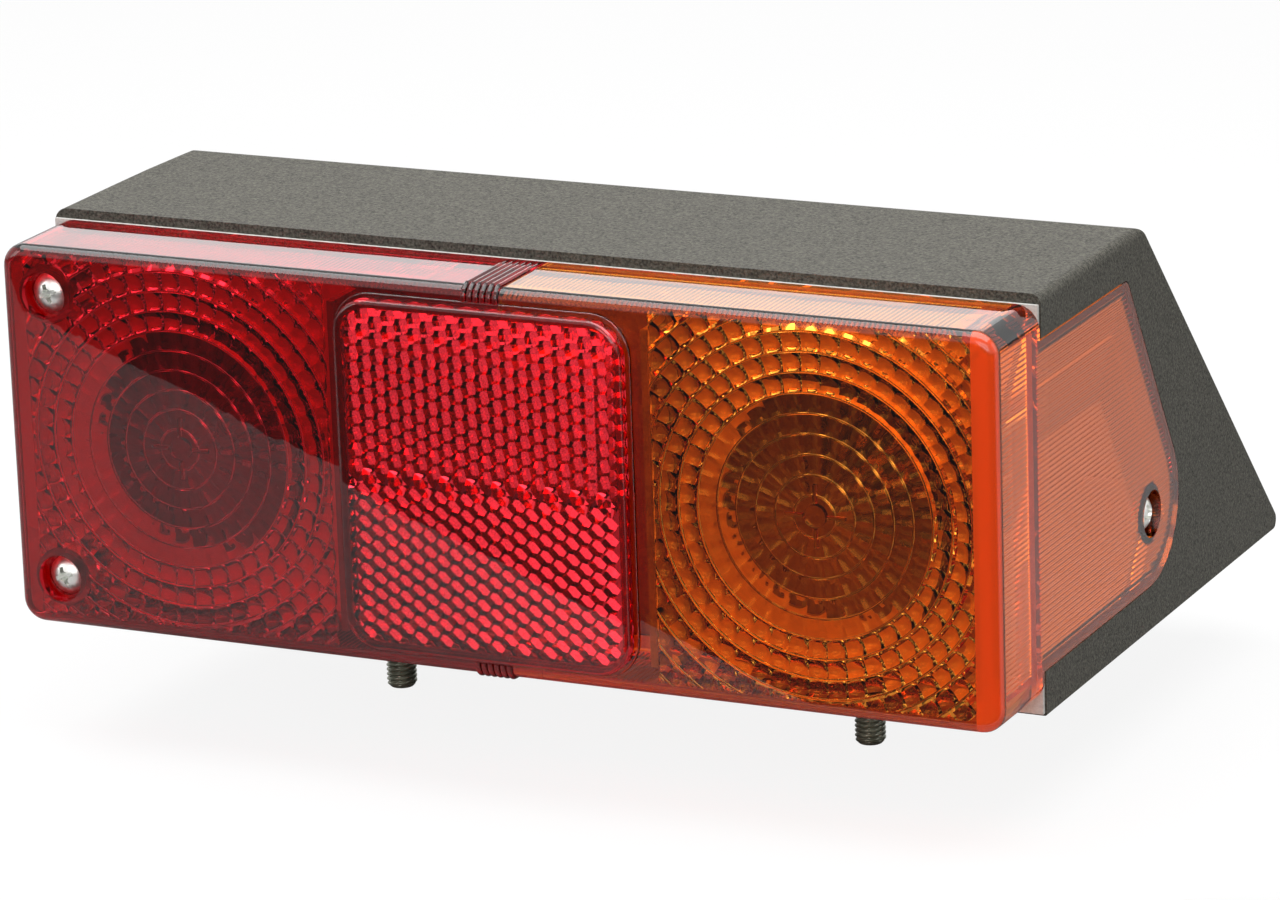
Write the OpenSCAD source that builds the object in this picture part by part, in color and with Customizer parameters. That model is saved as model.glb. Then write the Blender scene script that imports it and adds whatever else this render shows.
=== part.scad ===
// Tail light cluster: a lens moulded in red and amber, screwed over a black wedge-shaped housing
// that stands on two studs. Two bulbs sit in a carrier behind the lens, a reflex reflector is
// bonded on over the seam, and a side plate of the amber lens lights to the right.
// X runs along the lens, Y from front to back and Z up. The origin is on the underside of the
// housing, midway between the two studs.

/* [Lens] */
// Width of the lens over both colours
lens_w = 266; // [256:1:300]
// Height of the lens
lens_h = 98; // [96:1:110]
// Depth of the lens, from its front face to its back edge
lens_d = 27; // [24:0.5:34]
// Wall of the lens
lens_wall = 2.5; // [2:0.1:3]
// Radius of the lens corners, seen from the front
lens_corner_r = 6; // [4:0.5:8]
// Radius of the edge between the lens front and its skirt
lens_edge_r = 3; // [1.5:0.25:3.5]
// Distance between two rings of the lens optics
ring_pitch = 5; // [4:0.25:6]
// Number of rings of each optic
ring_count = 9; // [4:1:10]
// Height of the ring teeth
ring_h = 0.8; // [0.4:0.1:1]
// Radius of the plain centre of each optic
ring_hub_r = 5; // [4:0.5:6]
// Radius of the raised disc at the middle of each optic
mark_r = 2.8; // [2:0.1:3.4]
// Distance between two flutes inside the skirts
flute_pitch = 2; // [1.5:0.25:4]
// Height of the flutes
flute_h = 0.6; // [0.3:0.1:0.8]
// Plain strip of the skirt behind the flutes
flute_stop = 3.5; // [2:0.5:6]
// Distance of each lamp's axis from its end of the lens
lamp_inset = 47.5; // [45:0.5:50]

/* [Seam ribs] */
// Number of ribs over the seam
rib_count = 6; // [3:1:8]
// Distance between two ribs
rib_pitch = 1.7; // [1.4:0.1:2]
// Width of one rib
rib_w = 1.1; // [0.7:0.1:1.3]
// Height of the ribs over the lens
rib_h = 0.9; // [0.5:0.1:1.3]
// Length of the ribs down the lens front
rib_wrap = 3.6; // [3.2:0.1:3.8]

/* [Side plate] */
// Height of the plate's lower edge over the lens's lower edge
plate_low = 8; // [6.5:0.5:12]
// Distance of the plate's upper edge below the lens's upper edge
plate_drop = 8.5; // [7:0.5:14]
// Reach of the plate's upper edge behind the housing's front face
plate_top_d = 56; // [46:1:60]
// Reach of the plate's lower edge behind the housing's front face, before its corner is rounded
plate_base_d = 105; // [98:1:112]
// Radius of the plate's lower back corner
plate_r = 20; // [16:1:24]
// Flat border round the plate's flutes
plate_border = 4; // [3:0.5:6]

/* [Reflex reflector] */
// Width of the reflector
reflector_w = 77; // [70:1:78]
// Height of the reflector
reflector_h = 88.5; // [80:0.5:89]
// Thickness of the reflector
reflector_t = 3; // [2.6:0.1:4]
// Corner radius of the reflector
reflector_r = 9; // [6:0.5:12]
// Border of the lens's pad round the reflector
pad_border = 1.2; // [0.8:0.1:1.4]
// Height of the lens's pad under the reflector
pad_h = 0.8; // [0.5:0.1:1.2]
// Distance between two columns of reflector cells
cell_pitch = 3.4; // [3:0.2:6]
// Depth of the reflector cells
cell_depth = 1.2; // [0.8:0.1:1.5]
// Plain border round the reflector cells
cell_border = 3.5; // [3:0.5:6]

/* [Housing] */
// Height of the housing's rim over the lens
rim_h = 2.5; // [1.5:0.25:5]
// Height of the lens's lower edge over the housing's underside
lens_lift = 3.5; // [2.5:0.25:6]
// Depth of the housing at its top, before the edge is rounded
top_d = 66; // [64:1:80]
// Depth of the housing at its base
base_d = 164; // [156:1:190]
// Wall of the housing
wall = 3.5; // [3:0.25:4]
// Width of the rim that the lens seats on
rim_w = 9; // [8.5:0.25:10]
// Width of the ledge that the bulb carrier seats on
ledge_w = 5; // [4.5:0.25:6]
// Thickness of the ledge
ledge_t = 3.5; // [3:0.25:5]
// Amount by which the left end leans in towards the back
left_taper = 10; // [4:1:14]
// Radius of the housing's upper back edge
back_r = 6; // [3:0.5:8]
// Radius of the housing's small edges
edge_r = 2.5; // [1:0.25:3.5]
// Thickness of the lens gasket
gasket_t = 1; // [0.6:0.1:1.6]

/* [Studs] */
// Distance between the two studs
stud_spacing = 132; // [120:1:140]
// Diameter of the studs
stud_d = 8; // [6:1:10]
// Length of the studs below the housing
stud_len = 30; // [20:1:45]
// Distance of the studs behind the housing's front face
stud_setback = 48; // [44:1:54]
// Width across the flats of the stud heads
head_af = 13; // [13:1:16]
// Height of the stud heads
head_h = 5.3; // [4:0.1:7]
// Thread pitch of the studs
stud_pitch = 1.25; // [0.75:0.25:1.5]
// Reach of the plate that spreads the studs' load, beyond each stud's axis
spread_end = 20; // [18:1:24]
// Depth of that plate
spread_d = 34; // [24:1:36]
// Thickness of that plate
spread_t = 3; // [2:0.25:4]

/* [Lens screws] */
// Diameter of the lens screws
screw_d = 5; // [4:0.5:5]
// Length of the lens screws under the head
screw_len = 34; // [31:1:37]
// Length of the side screw under the head
side_screw_len = 14; // [12:1:15]
// Diameter of the screw heads
screw_head_d = 10; // [8:0.5:10.5]
// Height of the screw heads
screw_head_h = 3.6; // [2.5:0.1:4]
// Distance of the two front screws from the left end
screw_inset = 12; // [11.5:0.25:14]
// Distance between the two front screws
screw_span = 73.3; // [66:0.1:74]
// Depth of the front screw wells
well_depth = 5; // [4:0.25:7]
// Radius of the screw wells
well_r = 6; // [5.6:0.1:6.4]
// Distance of the side screw behind the housing's front face
side_screw_back = 71.3; // [68:0.1:72]
// Height of the side screw over the plate's lower edge
side_screw_up = 18.2; // [17:0.1:19]
// Depth of the side screw's well
side_well_depth = 4; // [3.6:0.1:4.5]
// Length of the threaded inserts
insert_len = 8; // [6:0.5:9]
// Wall of the threaded inserts
insert_wall = 1.1; // [0.9:0.1:1.4]

/* [Bulb carrier] */
// Thickness of the carrier plate
carrier_t = 2.5; // [2:0.25:3]
// Clearance between the bowls and the housing round them
bowl_gap = 0.3; // [0.3:0.1:2]
// Focal length of the bowls
bowl_f = 12; // [11:0.5:14]
// Radius of the hole behind each bowl
bowl_hole_r = 14; // [13.5:0.25:15]
// Wall of the bowls, measured along their axis
bowl_wall = 2.2; // [1.6:0.1:2.6]
// Length of the collar behind each bowl
collar_len = 10; // [8:0.5:13]
// Distance of the two partitions from the middle
partition_x = 42; // [41.5:0.25:43]
// Thickness of the partitions
partition_t = 1.8; // [1.2:0.1:2.4]
// Distance of the carrier screws from the middle
carrier_screw_x = 36; // [30:1:37]

/* [Bulbs and sockets] */
// Radius of the bulb glass
glass_r = 12.5; // [11:0.25:13]
// Wall of the bulb glass
glass_wall = 0.8; // [0.5:0.1:1]
// Radius of the bulb's neck
neck_r = 6.5; // [5.5:0.25:6.5]
// Radius of the bulb caps
cap_r = 7.5; // [7.25:0.05:7.6]
// Length of the bulb caps
cap_len = 15; // [14:0.5:17]
// Distance of the glass centre from the cap
glass_up = 21; // [20:0.5:22]
// Wall of the socket shells
shell_wall = 0.7; // [0.5:0.05:0.9]
// Length of the socket shells behind the carrier
shell_len = 24; // [23:0.5:28]
// Radius of the socket flanges
flange_r = 14; // [13.5:0.25:15]

/* [Wiring] */
// Length of the terminal block
block_w = 52; // [50:1:60]
// Depth of the terminal block
block_d = 20; // [18:1:24]
// Height of the terminal block
block_h = 16; // [15.5:0.5:20]
// Distance of the block behind the stud line
block_back = 24; // [23:1:28]
// Distance between two terminals
terminal_pitch = 12; // [11.5:0.25:13]
// Diameter of the leads
lead_d = 2.4; // [1.8:0.1:2.6]
// Diameter of the cable that the grommet takes
cable_d = 7; // [5:0.5:9]
// Distance of the cable entry behind the stud line
cable_back = 66; // [64:1:72]
// Radius of the grommet's flanges
grommet_r = 12; // [11:0.5:13]

/* [Hidden] */
$fn = 48;
// Clearance of a fixed fit and of a loose one
snug = 0.1;
loose = 0.3;
// Overlap that fuses two shapes of one piece
bite = 0.3;
// Surplus of a cut beyond the face that it leaves by
over = 1;

half_w = lens_w / 2;
lamp_x = half_w - lamp_inset;
seat_y = -stud_setback;
lens_back = seat_y - gasket_t;
lens_front = lens_back - lens_d;
lens_z0 = lens_lift;
lens_z1 = lens_lift + lens_h;
mid_z = (lens_z0 + lens_z1) / 2;
housing_h = lens_z1 + rim_h;
base_back = seat_y + base_d;
top_back = seat_y + top_d;
inner_front = lens_front + lens_wall;
seam_x = (rib_count - 1) * rib_pitch / 2 + rib_w;
plate_z0 = lens_z0 + plate_low;
plate_z1 = lens_z1 - plate_drop;
plate_lean = (plate_base_d - plate_top_d) / (plate_z1 - plate_z0);
ledge_y = seat_y + carrier_t;
lip_back = ledge_y + ledge_t;
mouth = [-half_w + rim_w, half_w - rim_w, rim_w, housing_h - rim_w];
mouth_r = 3;
screw_x = -half_w + screw_inset;
screw_zs = [mid_z - screw_span / 2, mid_z + screw_span / 2];
screw_seat = lens_front + well_depth;
side_screw_y = seat_y + side_screw_back;
side_screw_z = plate_z0 + side_screw_up;
side_seat = half_w - side_well_depth;
cup_wall = 1.6;
cup_r = well_r + cup_wall;
cup_floor = 2;
cup_end = side_seat - cup_floor;
insert_r = screw_d / 2 + insert_wall;
boss_r = cup_r;
carrier_screw_d = 3;
carrier_screw_len = 10;
carrier_screw_zs = [rim_w + ledge_w / 2, housing_h - rim_w - ledge_w / 2];
bowl_room = min(mouth[1] - lamp_x, mouth[3] - ledge_w - mid_z);
bowl_r = bowl_room - bowl_wall - bowl_gap;
bowl_depth = bowl_r * bowl_r / (4 * bowl_f);
bowl_back = seat_y + bowl_depth - bowl_hole_r * bowl_hole_r / (4 * bowl_f);
collar_back = bowl_back + collar_len;
collar_t = 1.5;
flange_t = 1;
shell_r = cap_r + loose;
shell_out = shell_r + shell_wall;
shell_front = collar_back - collar_t - over;
cap_front = collar_back + 3;
cap_back = cap_front + cap_len;
shell_back = collar_back + shell_len;
insulator_t = 2.5;
insulator_back = shell_back - 1;
contact_r = 1.5;
contact_x = 2.8;
contact_back = shell_back + 1;
rivet_r = 1.2;
rivet_at = (shell_out + flange_r) / 2;
terminal_xs = [for (i = [-1.5:1:1.5]) i * terminal_pitch];
tube_r = 3;
tube_bore = 1.6;
tube_inset = 1;
tube_z = wall + block_h / 2 + 0.5;
shaft_r = 2.6;
clamp_r = 1.4;
clamp_ys = [block_back + 5, block_back + block_d - 5];
block_screw_r = 1.4;
block_screw_y = block_back + block_d / 2;
lead_r = lead_d / 2;
head_r = head_af / sqrt(3);
// The leads come down behind the stud heads
lead_near = max(contact_back + 3, head_r + lead_r + over);
lead_far = lead_near + lead_d + 0.6;
grommet_neck = grommet_r - 3;
grommet_rebate = wall - 1.5;
stud_xs = [-stud_spacing / 2, stud_spacing / 2];
// The plain shank is as thin as the blank that its thread is rolled on
shank_r = (stud_d - 0.65 * stud_pitch) / 2;
spread_z = wall + spread_t;
spread_x = stud_xs[1] + spread_end;
earth_inset = 5;
earth_x = spread_x - earth_inset;
filament_l = 6;
dim_filament_l = 5;

// Corner q of an outline, between p and s, rounded to radius r as a run of points
function corner(p, q, s, r, n = 6) =
    let (a = (p - q) / norm(p - q), b = (s - q) / norm(s - q), half = acos(a * b) / 2,
        c = q + (a + b) / norm(a + b) * r / sin(half),
        t0 = q + a * r / tan(half) - c, t1 = q + b * r / tan(half) - c,
        a0 = atan2(t0.y, t0.x), sweep = (atan2(t1.y, t1.x) - a0 + 540) % 360 - 180)
    r <= 0 ? [q] : [for (i = [0:n]) c + r * [cos(a0 + sweep * i / n), sin(a0 + sweep * i / n)]];

// Outline with a radius at each of its corners
function rounded(pts, radii) =
    let (k = len(pts))
    [for (i = [0:k - 1]) each corner(pts[(i + k - 1) % k], pts[i], pts[(i + 1) % k], radii[i])];

function rect(a0, a1, b0, b1) = [[a0, b0], [a1, b0], [a1, b1], [a0, b1]];
function round_rect(a0, a1, b0, b1, r) = rounded(rect(a0, a1, b0, b1), [r, r, r, r]);

// Saw-toothed strip: teeth of height h stand off the line b, from a0 towards a1
function teeth(a0, a1, b, h) =
    let (n = floor((a1 - a0) / flute_pitch), root = h > 0 ? -bite : bite)
    [[a0, b + root], [a0 + n * flute_pitch, b + root],
        for (i = [n:-1:1]) each [[a0 + i * flute_pitch, b], [a0 + (i - 0.5) * flute_pitch, b + h]],
        [a0, b]];

// Outline of the side plate, larger by g all round and reaching forward to y0
function plate_outline(g, y0) =
    let (lean = g * sqrt(1 + plate_lean * plate_lean))
    rounded([[y0, plate_z0 - g],
        [seat_y + plate_base_d + g * plate_lean + lean, plate_z0 - g],
        [seat_y + plate_top_d - g * plate_lean + lean, plate_z1 + g],
        [y0, plate_z1 + g]], [0, plate_r + g, max(3 + g, 0.5), 0]);

// Side view of the housing, smaller by t
function housing_side(t) =
    let (k = (base_d - top_d) / housing_h, lean = t * sqrt(1 + k * k))
    rounded([[seat_y, t], [base_back - t * k - lean, t],
        [top_back + t * k - lean, housing_h - t], [seat_y, housing_h - t]],
        [0, max(edge_r - t, 0.5), max(back_r - t, 1), 0]);

// Inner curve of a bowl at radius r, measured back from its mouth
function bowl_y(r) = bowl_depth - r * r / (4 * bowl_f);

// Solid of an XZ outline between two places on Y
module along_y(pts, y0, y1) {
    translate([0, y1, 0])
        rotate([90, 0, 0])
            linear_extrude(y1 - y0)
                polygon(pts);
}

// Solid of a YZ outline between two places on X
module along_x(pts, x0, x1) {
    translate([x0, 0, 0])
        rotate([90, 0, 90])
            linear_extrude(x1 - x0)
                polygon(pts);
}

// Solid of an XY outline between two heights
module along_z(pts, z0, z1) {
    translate([0, 0, z0])
        linear_extrude(z1 - z0)
            polygon(pts);
}

// Cylinder along Y from y0 to y1
module rod_y(x, z, r, y0, y1) {
    translate([x, y0, z])
        rotate([-90, 0, 0])
            cylinder(h = y1 - y0, r = r);
}

// Cylinder along X from x0 to x1
module rod_x(y, z, r, x0, x1) {
    translate([x0, y, z])
        rotate([0, 90, 0])
            cylinder(h = x1 - x0, r = r);
}

// Shape turned about an axis along Y: the outline holds radius and distance back from y0
module turned_y(x, y0, z, pts) {
    translate([x, y0, z])
        rotate([-90, 0, 0])
            rotate_extrude()
                polygon(pts);
}

// Lens's outer form, smaller by t and running back to y1
module lens_form(t, y1) {
    w = half_w - t;
    y0 = lens_front + t;
    z0 = lens_z0 + t;
    z1 = lens_z1 - t;
    edge = max(lens_edge_r - t, 0.4);
    intersection() {
        along_y(round_rect(-w, w, z0, z1, max(lens_corner_r - t, 0.5)), y0, y1);
        along_x(rounded([[y0, z0], [y1, z0], [y1, z1], [y0, z1]], [edge, 0, 0, edge]), -w, w);
        along_z(rounded([[-w, y0], [w, y0], [w, y1], [-w, y1]], [edge, edge, 0, 0]), z0, z1);
    }
}

// Hollow lens, without its fittings
module lens_shell() {
    difference() {
        lens_form(0, lens_back);
        lens_form(lens_wall, lens_back + over);
    }
}

// Rings of one optic, on the inside of the lens front
module ring_optic(x) {
    far = ring_hub_r + ring_count * ring_pitch;
    intersection() {
        turned_y(x, inner_front, mid_z, [[ring_hub_r, -bite], [far, -bite],
            for (k = [ring_count:-1:1]) each [[ring_hub_r + k * ring_pitch, ring_h],
                [ring_hub_r + (k - 1) * ring_pitch, 0]]]);
        along_y(rect(x - partition_x, x + partition_x - over, lens_z0 + lens_wall,
            lens_z1 - lens_wall), inner_front - over, inner_front + ring_h + over);
    }
}

// Small disc and four spokes raised on the lens front at the middle of an optic
module centre_mark(x) {
    mark_h = 0.4;
    spoke_w = 0.7;
    spoke_r = 7.8;
    rod_y(x, mid_z, mark_r, lens_front - mark_h, lens_front + bite);
    along_y(rect(x - spoke_r, x + spoke_r, mid_z - spoke_w / 2, mid_z + spoke_w / 2),
        lens_front - mark_h / 2, lens_front + bite);
    along_y(rect(x - spoke_w / 2, x + spoke_w / 2, mid_z - spoke_r, mid_z + spoke_r),
        lens_front - mark_h / 2, lens_front + bite);
}

// Flutes on the inside of the upper and lower skirts, between two places on X
module skirt_flutes(x0, x1) {
    along_y(teeth(x0, x1, lens_z1 - lens_wall, -flute_h), inner_front - bite,
        lens_back - flute_stop);
    along_y(teeth(x0, x1, lens_z0 + lens_wall, flute_h), inner_front - bite,
        lens_back - flute_stop);
}

// Pad on the lens front that the reflector is bonded to, with the share between two places on X
module reflector_pad(x0, x1) {
    w = reflector_w / 2 + pad_border;
    h = reflector_h / 2 + pad_border;
    intersection() {
        along_y(round_rect(-w, w, mid_z - h, mid_z + h, reflector_r + pad_border),
            lens_front - pad_h, lens_front + bite);
        along_y(rect(x0, x1, lens_z0, lens_z1), lens_front - pad_h - over, lens_front + over);
    }
}

// Ribs that wrap over the lens at the seam, above and below the reflector
module seam_ribs() {
    y0 = lens_front - rib_h;
    outline = rounded([[y0, lens_z0 - rib_h], [lens_back, lens_z0 - rib_h],
        [lens_back, lens_z1 + rib_h], [y0, lens_z1 + rib_h]],
        [lens_edge_r + rib_h, 0, 0, lens_edge_r + rib_h]);
    core = rounded([[lens_front + bite, lens_z0 + bite], [lens_back + over, lens_z0 + bite],
        [lens_back + over, lens_z1 - bite], [lens_front + bite, lens_z1 - bite]],
        [lens_edge_r, 0, 0, lens_edge_r]);
    front_gap = rect(y0 - over, lens_front + lens_edge_r, lens_z0 + rib_wrap,
        lens_z1 - rib_wrap);
    for (i = [0:rib_count - 1]) {
        x = (i - (rib_count - 1) / 2) * rib_pitch;
        difference() {
            along_x(outline, x - rib_w / 2, x + rib_w / 2);
            along_x(core, x - rib_w, x + rib_w);
            along_x(front_gap, x - rib_w, x + rib_w);
        }
    }
}

// Red lens: the left part of the moulding, with the two front screw wells and the seam ribs
module red_lens() {
    color("crimson")
        difference() {
            union() {
                intersection() {
                    lens_shell();
                    along_y(rect(-half_w - over, seam_x, lens_z0 - over, lens_z1 + over),
                        lens_front - over, lens_back + over);
                }
                for (z = screw_zs)
                    rod_y(screw_x, z, cup_r, lens_front + lens_edge_r / 2, lens_back);
                ring_optic(-lamp_x);
                centre_mark(-lamp_x);
                skirt_flutes(-half_w + lens_corner_r, seam_x);
                reflector_pad(-half_w, seam_x);
                seam_ribs();
            }
            for (z = screw_zs) {
                rod_y(screw_x, z, well_r, lens_front - over, screw_seat);
                rod_y(screw_x, z, screw_d / 2 + loose, screw_seat - over, lens_back + over);
            }
        }
}

// Amber lens: the right part, with the side plate that reaches back along the housing
module amber_lens() {
    color("darkorange")
        difference() {
            union() {
                intersection() {
                    lens_shell();
                    along_y(rect(seam_x, half_w + over, lens_z0 - over, lens_z1 + over),
                        lens_front - over, lens_back + over);
                }
                along_x(plate_outline(0, lens_back - bite), half_w - lens_wall, half_w);
                rod_x(side_screw_y, side_screw_z, cup_r, cup_end, half_w);
                ring_optic(lamp_x);
                centre_mark(lamp_x);
                skirt_flutes(seam_x, half_w - lens_corner_r);
                side_flutes();
                reflector_pad(seam_x, half_w);
            }
            rod_x(side_screw_y, side_screw_z, well_r, side_seat, half_w + over);
            rod_x(side_screw_y, side_screw_z, screw_d / 2 + loose, cup_end - over, half_w);
        }
}

// Flutes on the inside of the right skirt and of the side plate
module side_flutes() {
    strip = [for (p = teeth(plate_z0 + plate_border, plate_z1 - plate_border,
        lens_wall - half_w, flute_h)) [-p.y, p.x]];
    intersection() {
        along_y(strip, inner_front - bite, seat_y + plate_base_d);
        along_x(plate_outline(-plate_border, inner_front - over), 0, half_w);
    }
}

// Reflex reflector: a plate with a honeycomb of cells in its back face
module reflex_reflector() {
    w = reflector_w / 2;
    h = reflector_h / 2;
    y1 = lens_front - pad_h;
    cell_r = cell_pitch / 1.5;
    cell_h = cell_r * sqrt(3);
    cols = floor((w - cell_border - cell_r) / cell_pitch);
    rows = floor((h - cell_border - cell_h) / cell_h);
    color("red") {
        along_y(round_rect(-w, w, mid_z - h, mid_z + h, reflector_r),
            y1 - reflector_t, y1 - cell_depth);
        translate([0, y1, mid_z])
            rotate([90, 0, 0])
                linear_extrude(cell_depth)
                    difference() {
                        polygon(round_rect(-w, w, -h, h, reflector_r));
                        for (i = [-cols:cols], j = [-rows:rows])
                            translate([i * cell_pitch, (j + (i % 2 == 0 ? 0 : 0.5)) * cell_h])
                                circle(r = cell_r - 0.15, $fn = 6);
                    }
    }
}

// Foam gasket between the lens and the housing's rim
module lens_gasket() {
    ear_r = cup_r + 0.5;
    color("gainsboro")
        difference() {
            union() {
                difference() {
                    along_y(rect(-half_w + 0.5, half_w - 0.5, 0.6, lens_z1), lens_back, seat_y);
                    along_y(round_rect(mouth[0], mouth[1], mouth[2], mouth[3], mouth_r),
                        lens_back - over, seat_y + over);
                }
                for (z = screw_zs)
                    rod_y(screw_x, z, ear_r, lens_back, seat_y);
            }
            for (z = screw_zs)
                rod_y(screw_x, z, screw_d / 2 + loose, lens_back - over, seat_y + over);
            plate_recess(lens_back);
        }
}

// Room for the side plate and its flutes, open towards the front at y0
module plate_recess(y0) {
    along_x(plate_outline(loose, y0 - over), half_w - lens_wall - loose, half_w + over);
    along_x(plate_outline(loose - plate_border, y0 - over),
        half_w - lens_wall - flute_h - loose, half_w);
}

// Outer form of the housing, smaller by t
module housing_form(t) {
    w = half_w - t;
    intersection() {
        along_x(housing_side(t), -half_w, half_w);
        along_y(rounded(rect(-w, w, t, housing_h - t), [0.5, 0.5, edge_r, edge_r + 1]),
            seat_y, base_back);
        along_z(rounded([[-w, seat_y], [w, seat_y], [w, base_back], [left_taper - w, base_back]],
            [0, 0, edge_r, back_r]), 0, housing_h);
    }
}

// Shell of the housing: its rim, the ledges above and below its mouth and the side window's edge
module housing_shell() {
    difference() {
        union() {
            difference() {
                housing_form(0);
                housing_form(wall);
            }
            intersection() {
                housing_form(0);
                union() {
                    along_y(rect(-half_w, half_w, 0, housing_h), seat_y, lip_back);
                    along_x(plate_outline(wall, seat_y), cup_end, half_w);
                }
            }
        }
        along_y(round_rect(mouth[0], mouth[1], mouth[2], mouth[3], mouth_r),
            seat_y - over, ledge_y);
        along_y(round_rect(mouth[0], mouth[1], mouth[2] + ledge_w, mouth[3] - ledge_w,
            mouth_r), seat_y - over, lip_back + over);
        plate_recess(seat_y);
        along_x(plate_outline(loose - plate_border, lip_back + over), cup_end - over,
            half_w + over);
    }
}

// Housing: the shell with the bosses for every screw and the holes in its floor
module housing() {
    front_boss_end = screw_seat + screw_len + 2;
    side_boss_end = side_seat - side_screw_len - 2;
    color("dimgray")
        difference() {
            union() {
                housing_shell();
                for (z = screw_zs)
                    rod_y(screw_x, z, boss_r, seat_y, front_boss_end);
                rod_x(side_screw_y, side_screw_z, boss_r, side_boss_end, cup_end);
                for (x = [-1, 1], z = carrier_screw_zs)
                    rod_y(x * carrier_screw_x, z, carrier_screw_d, ledge_y,
                        ledge_y + carrier_screw_len);
            }
            for (z = screw_zs) {
                rod_y(screw_x, z, insert_r + snug, seat_y - over, seat_y + insert_len);
                rod_y(screw_x, z, screw_d / 2 + snug, seat_y, screw_seat + screw_len + over);
            }
            rod_x(side_screw_y, side_screw_z, cup_r + loose, cup_end, half_w + over);
            rod_x(side_screw_y, side_screw_z, insert_r + snug, cup_end - insert_len,
                cup_end + over);
            rod_x(side_screw_y, side_screw_z, screw_d / 2 + snug,
                side_seat - side_screw_len - over, cup_end);
            for (x = [-1, 1], z = carrier_screw_zs)
                rod_y(x * carrier_screw_x, z, carrier_screw_d / 2 + snug, ledge_y - over,
                    seat_y + carrier_screw_len + over);
            for (x = stud_xs)
                translate([x, 0, -over])
                    cylinder(h = wall + 2 * over, r = stud_d / 2 + loose);
            translate([0, cable_back, -over])
                cylinder(h = wall + 2 * over, r = grommet_neck + snug);
            translate([0, cable_back, -over])
                cylinder(h = grommet_rebate + over, r = grommet_r + loose);
            for (x = [-1, 1])
                translate([x * terminal_pitch, block_screw_y, wall - 2.5])
                    cylinder(h = 2.5 + over, r = block_screw_r + snug);
        }
}

// Pan-head screw with a cross recess: its head seats at the origin and its shank runs along +Z
module pan_screw(d, length, head_d, head_h) {
    dome_r = (head_d * head_d / 4 + head_h * head_h) / (2 * head_h);
    slot_w = head_d / 9;
    slot_l = head_d * 0.56;
    difference() {
        union() {
            cylinder(h = length - d / 4, r = d / 2);
            translate([0, 0, length - d / 4])
                cylinder(h = d / 4, r1 = d / 2, r2 = d / 4);
            intersection() {
                translate([0, 0, dome_r - head_h])
                    sphere(r = dome_r);
                translate([0, 0, -head_h])
                    cylinder(h = head_h, r = head_d / 2 - 0.2);
            }
        }
        for (a = [0, 90])
            rotate([0, 0, a])
                translate([-slot_l / 2, -slot_w / 2, -head_h - over])
                    cube([slot_l, slot_w, head_h * 0.55 + over]);
    }
}

// Two screws from the front and one from the side
module lens_screws() {
    color("silver") {
        for (z = screw_zs)
            translate([screw_x, screw_seat, z])
                rotate([-90, 0, 0])
                    pan_screw(screw_d, screw_len, screw_head_d, screw_head_h);
        translate([side_seat, side_screw_y, side_screw_z])
            rotate([0, -90, 0])
                pan_screw(screw_d, side_screw_len, screw_head_d, screw_head_h);
    }
}

// Brass thread inserts in the three lens screw bosses
module screw_inserts() {
    bore = screw_d / 2 + snug;
    color("goldenrod") {
        for (z = screw_zs)
            difference() {
                rod_y(screw_x, z, insert_r, seat_y, seat_y + insert_len);
                rod_y(screw_x, z, bore, seat_y - over, seat_y + insert_len + over);
            }
        difference() {
            rod_x(side_screw_y, side_screw_z, insert_r, cup_end - insert_len, cup_end);
            rod_x(side_screw_y, side_screw_z, bore, cup_end - insert_len - over,
                cup_end + over);
        }
    }
}

// Bowl of the carrier, with the collar that its socket is riveted to
module bowl(x) {
    steps = 8;
    rs = [for (i = [0:steps]) bowl_hole_r + (bowl_r - bowl_hole_r) * i / steps];
    turned_y(x, seat_y, mid_z, [for (r = rs) [r, bowl_y(r)],
        for (i = [steps:-1:0]) [rs[i] + (i == steps ? bowl_wall : 0), bowl_y(rs[i]) + bowl_wall]]);
    difference() {
        rod_y(x, mid_z, bowl_hole_r + collar_t, bowl_back, collar_back);
        rod_y(x, mid_z, bowl_hole_r, bowl_back - over, collar_back - collar_t);
        rod_y(x, mid_z, shell_out + snug, bowl_back, collar_back + over);
    }
}

// Bulb carrier: one moulding with both bowls, the partitions and a slot that lights the side plate
module bulb_carrier() {
    side_slot = 30;
    color("dimgray")
        difference() {
            union() {
                difference() {
                    along_y(round_rect(mouth[0] + loose, mouth[1] - loose, mouth[2] + loose,
                        mouth[3] - loose, mouth_r), seat_y, ledge_y);
                    for (x = [-lamp_x, lamp_x])
                        rod_y(x, mid_z, bowl_r, seat_y - over, ledge_y + over);
                }
                for (x = [-lamp_x, lamp_x])
                    bowl(x);
                for (x = [-1, 1])
                    along_y(rect(x * partition_x - partition_t / 2, x * partition_x
                        + partition_t / 2, mouth[2] + over, mouth[3] - over),
                        inner_front + ring_h + loose, seat_y + bite);
            }
            for (z = screw_zs)
                rod_y(screw_x, z, boss_r + 2 * loose, seat_y - over, ledge_y + over);
            for (x = [-1, 1], z = carrier_screw_zs)
                rod_y(x * carrier_screw_x, z, carrier_screw_d / 2 + snug, seat_y - over,
                    ledge_y + over);
            along_y(rect(lamp_x + bowl_hole_r + 4, half_w, mid_z - side_slot / 2,
                mid_z + side_slot / 2), ledge_y + over, bowl_back);
            for (x = [-lamp_x, lamp_x], s = [-1, 1])
                rod_y(x, mid_z + s * rivet_at, rivet_r + snug, collar_back - collar_t - over,
                    collar_back + over);
        }
}

// Screws that hold the carrier on the housing's ledge
module carrier_screws() {
    color("silver")
        for (x = [-1, 1], z = carrier_screw_zs)
            translate([x * carrier_screw_x, seat_y, z])
                rotate([-90, 0, 0])
                    pan_screw(carrier_screw_d, carrier_screw_len, carrier_screw_d * 1.7,
                        carrier_screw_d * 0.65);
}

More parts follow.
